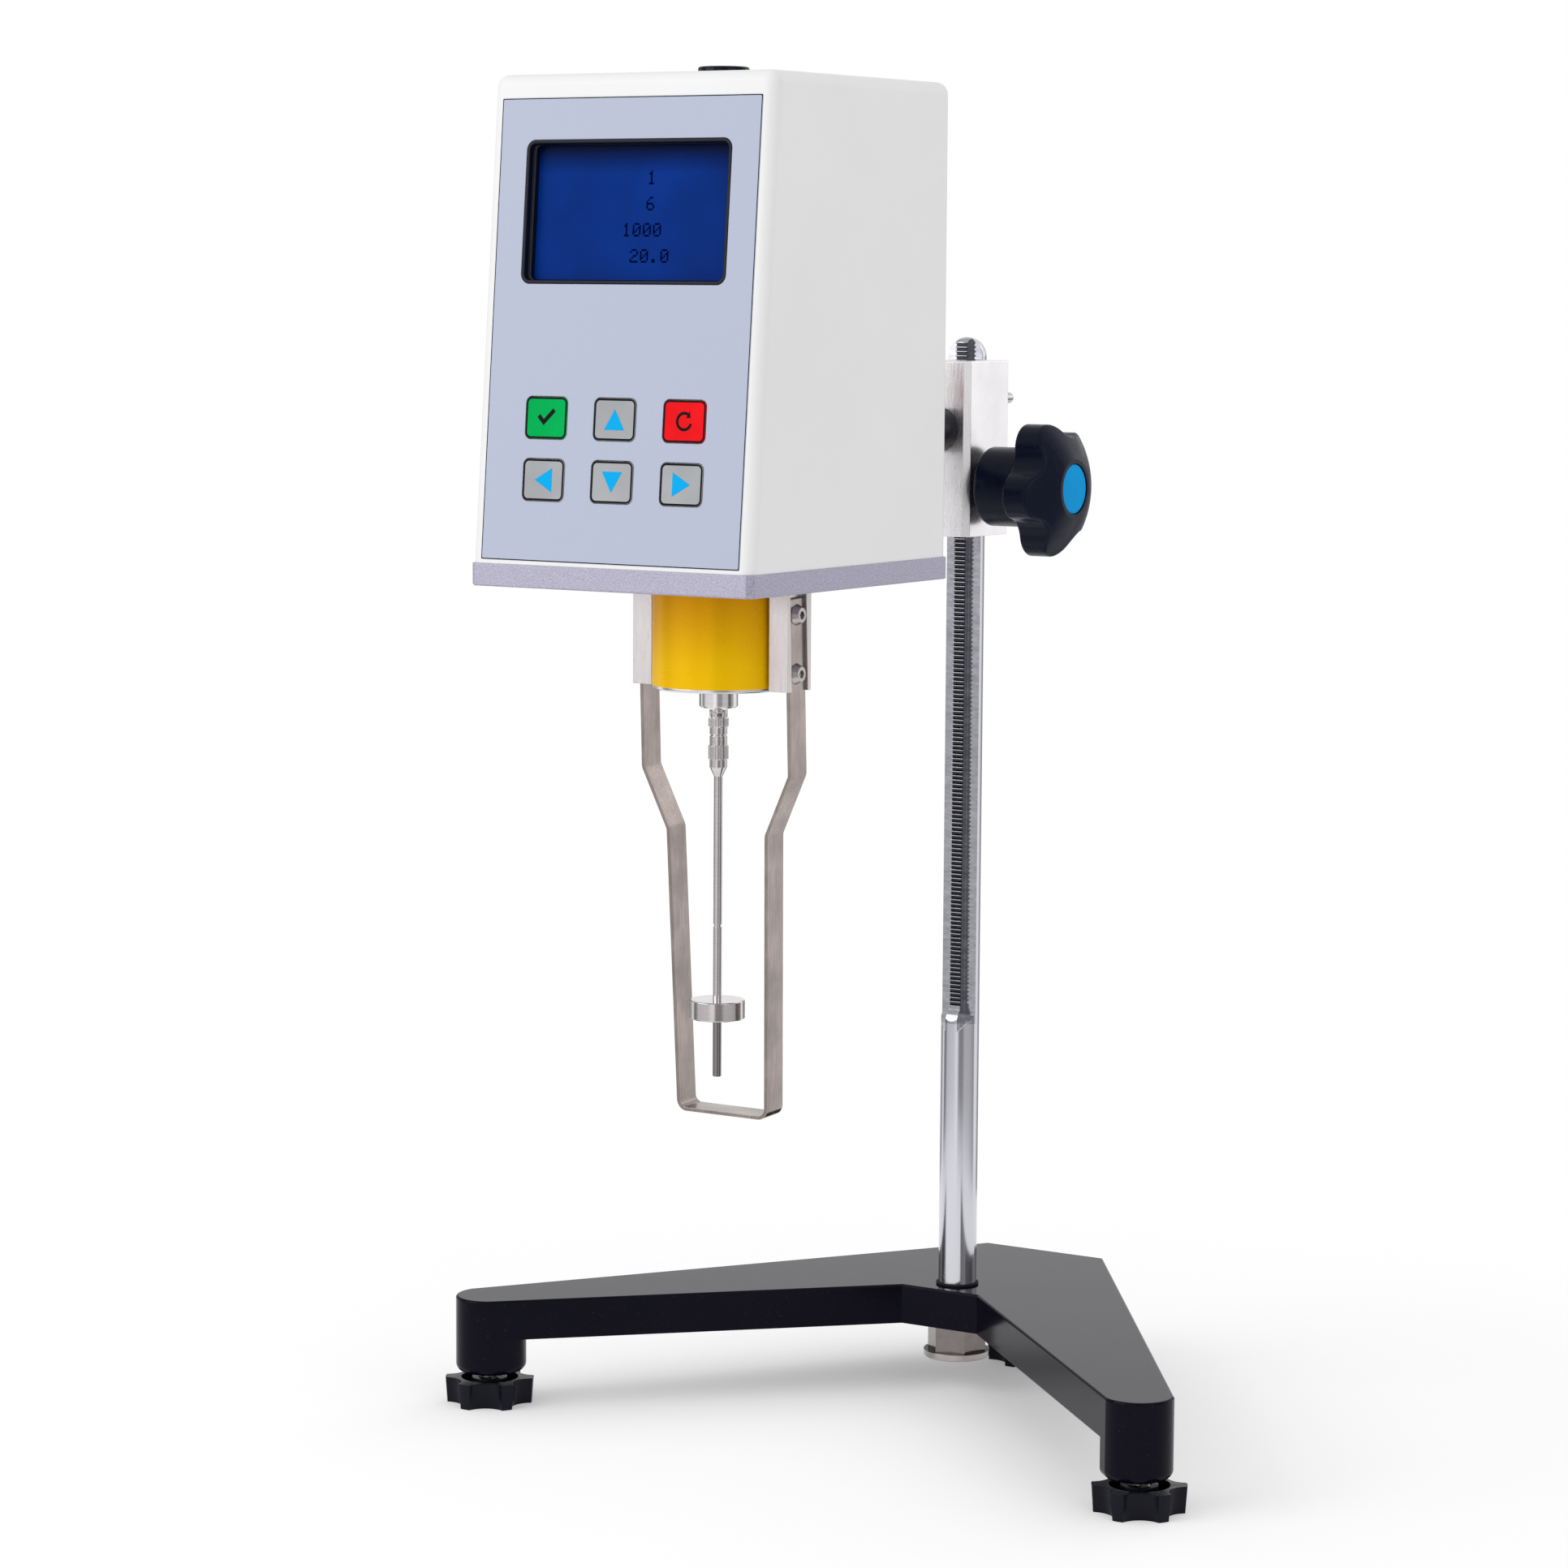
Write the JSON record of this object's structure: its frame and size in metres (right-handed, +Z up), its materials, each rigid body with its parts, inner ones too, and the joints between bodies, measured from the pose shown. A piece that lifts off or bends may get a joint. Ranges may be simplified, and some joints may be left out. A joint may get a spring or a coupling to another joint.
{
  "type": "rotational viscometer",
  "caption": "Bench rotational viscometer: keypad head with display on a rack-and-pinion stand, geared drive, torsion spring, disc spindle in a guard.",
  "frame": {"origin": "on the bench, under the middle of the instrument", "axes": "+Z up along the column, -Y towards the operator (the display), +X towards the lift knob"},
  "size_m": [0.2972, 0.3024, 0.4778],
  "materials": {
    "base_enamel": "gloss",
    "stand_chrome": "polished",
    "black_plastic": "satin",
    "black_rubber": "matte",
    "zinc_steel": "satin",
    "block_aluminium": "brushed",
    "black_steel": "satin",
    "blue_plastic": "satin",
    "brass": "satin",
    "white_enamel": "satin",
    "plate_hammered": "satin",
    "panel_film": "matte",
    "bezel_black": "gloss",
    "lcd_blue": "gloss",
    "board_green": "satin",
    "key_green": "satin",
    "key_red": "satin",
    "key_grey": "satin",
    "level_glass": "gloss",
    "steel": "satin",
    "label_yellow": "gloss",
    "gear_plastic": "satin"
  },
  "bodies": {
    "stand": {"stand_base": "base_enamel", "rack_column": "stand_chrome", "column_gasket": "black_rubber", "column_nut": "zinc_steel", "column_washer": "zinc_steel"},
    "lift_drive": {"pinion_shaft": "steel", "lift_knob": "black_plastic", "lift_knob_cap": "blue_plastic"},
    "motor_rotor": {"motor_pinion": "brass"},
    "drive_train": {"drive_gear": "gear_plastic", "drive_tube": "steel", "upper_disc": "black_steel", "torsion_spring": "steel"},
    "pivot": {"pivot_shaft": "steel", "lower_disc": "black_steel"},
    "gimbal": {"gimbal_cross": "steel"},
    "rotor": {"spindle": "steel"},
    "rocker": {"power_rocker": "key_red"},
    "stud_left": {"foot_stud_left": "zinc_steel"},
    "knob_left": {"foot_knob_left": "black_plastic"},
    "stud_right": {"foot_stud_right": "zinc_steel"},
    "knob_right": {"foot_knob_right": "black_plastic"},
    "stud_rear": {"foot_stud_rear": "zinc_steel"},
    "knob_rear": {"foot_knob_rear": "black_plastic"},
    "key_ok": {"key_ok": "key_green"},
    "key_up": {"key_up": "key_grey"},
    "key_reset": {"key_reset": "key_red"},
    "key_left": {"key_left": "key_grey"},
    "key_down": {"key_down": "key_grey"},
    "key_right": {"key_right": "key_grey"},
    "head": {"clamp_block": "block_aluminium", "pinion_bushes": "brass", "tension_screw": "zinc_steel", "tension_nut": "zinc_steel", "rod_grub_screw": "black_steel", "support_rod": "black_steel", "rod_bracket": "block_aluminium", "base_plate": "plate_hammered", "housing_cover": "white_enamel", "cover_screws": "zinc_steel", "front_panel": "panel_film", "display_bezel": "bezel_black", "lcd_module": "lcd_blue", "main_board": "board_green", "level_bezel": "bezel_black", "level_vial": "level_glass", "power_inlet": "black_plastic", "probe_socket": "zinc_steel", "bridge_posts": "block_aluminium", "motor_bridge": "block_aluminium", "drive_bearing": "brass", "drive_motor": "black_steel", "photo_sensors": "black_plastic", "spindle_housing": "block_aluminium", "label_band": "label_yellow", "pivot_bearing": "block_aluminium", "guard_bars": "block_aluminium", "guard_frame": "steel", "guard_screws": "zinc_steel"}
  },
  "joints": [
    {"name": "stud_left_screw", "type": "slide", "parent": "stand", "child": "stud_left", "axis": [0, 0, 1], "range_m": [-0.008, 0.0018]},
    {"name": "knob_left_turn", "type": "hinge", "parent": "stud_left", "child": "knob_left", "pos_m": [-0.1336, -0.0307, 0.00465], "axis": [0, 0, 1], "range_deg": [-2305, 519.4]},
    {"name": "stud_right_screw", "type": "slide", "parent": "stand", "child": "stud_right", "axis": [0, 0, 1], "range_m": [-0.008, 0.0018]},
    {"name": "knob_right_turn", "type": "hinge", "parent": "stud_right", "child": "knob_right", "pos_m": [0.1336, -0.0307, 0.00465], "axis": [0, 0, 1], "range_deg": [-2305, 519.4]},
    {"name": "stud_rear_screw", "type": "slide", "parent": "stand", "child": "stud_rear", "axis": [0, 0, 1], "range_m": [-0.008, 0.0018]},
    {"name": "knob_rear_turn", "type": "hinge", "parent": "stud_rear", "child": "knob_rear", "pos_m": [0, 0.1351, 0.00465], "axis": [0, 0, 1], "range_deg": [-2305, 519.4]},
    {"name": "head_lift", "type": "slide", "parent": "stand", "child": "head", "axis": [0, 0, 1], "range_m": [-0.11, 0.025]},
    {"name": "lift_knob_turn", "type": "hinge", "parent": "head", "child": "lift_drive", "pos_m": [0.012, 0.071, 0.3352], "axis": [1, 0, 0], "range_deg": [-358.6, 1576.13]},
    {"name": "drive_spin", "type": "hinge", "parent": "head", "child": "drive_train", "pos_m": [0, -0.0853, 0.3963], "axis": [0, 0, 1], "continuous": true},
    {"name": "motor_spin", "type": "hinge", "parent": "head", "child": "motor_rotor", "pos_m": [0, -0.0533, 0.3963], "axis": [0, 0, 1], "continuous": true},
    {"name": "spring_twist", "type": "hinge", "parent": "drive_train", "child": "pivot", "pos_m": [0, -0.0853, 0.3428], "axis": [0, 0, 1], "range_deg": [-85, 85], "stiffness_Nm_per_rad": 0.00045},
    {"name": "gimbal_pitch", "type": "hinge", "parent": "pivot", "child": "gimbal", "pos_m": [0, -0.0853, 0.26435], "axis": [1, 0, 0], "range_deg": [-3, 3]},
    {"name": "gimbal_roll", "type": "hinge", "parent": "gimbal", "child": "rotor", "pos_m": [0, -0.0853, 0.26435], "axis": [0, 1, 0], "range_deg": [-3, 3]},
    {"name": "key_ok_press", "type": "slide", "parent": "head", "child": "key_ok", "axis": [0, 0.9964, -0.0847], "range_m": [0, 0.0003], "stiffness_N_per_m": 800},
    {"name": "key_up_press", "type": "slide", "parent": "head", "child": "key_up", "axis": [0, 0.9964, -0.0847], "range_m": [0, 0.0003], "stiffness_N_per_m": 800},
    {"name": "key_reset_press", "type": "slide", "parent": "head", "child": "key_reset", "axis": [0, 0.9964, -0.0847], "range_m": [0, 0.0003], "stiffness_N_per_m": 800},
    {"name": "key_left_press", "type": "slide", "parent": "head", "child": "key_left", "axis": [0, 0.9964, -0.0847], "range_m": [0, 0.0003], "stiffness_N_per_m": 800},
    {"name": "key_down_press", "type": "slide", "parent": "head", "child": "key_down", "axis": [0, 0.9964, -0.0847], "range_m": [0, 0.0003], "stiffness_N_per_m": 800},
    {"name": "key_right_press", "type": "slide", "parent": "head", "child": "key_right", "axis": [0, 0.9964, -0.0847], "range_m": [0, 0.0003], "stiffness_N_per_m": 800},
    {"name": "power_rocker_tilt", "type": "hinge", "parent": "head", "child": "rocker", "pos_m": [-0.031, -0.03105, 0.3688], "axis": [1, 0, 0], "range_deg": [-6, 6]}
  ],
  "couplings": [
    {"joint": "knob_left_turn", "follows": "stud_left_screw", "rad_per_m": 5026.5},
    {"joint": "knob_right_turn", "follows": "stud_right_screw", "rad_per_m": 5026.5},
    {"joint": "knob_rear_turn", "follows": "stud_rear_screw", "rad_per_m": 5026.5},
    {"joint": "lift_knob_turn", "follows": "head_lift", "rad_per_m": -250},
    {"joint": "motor_spin", "follows": "drive_spin", "ratio": -3}
  ]
}
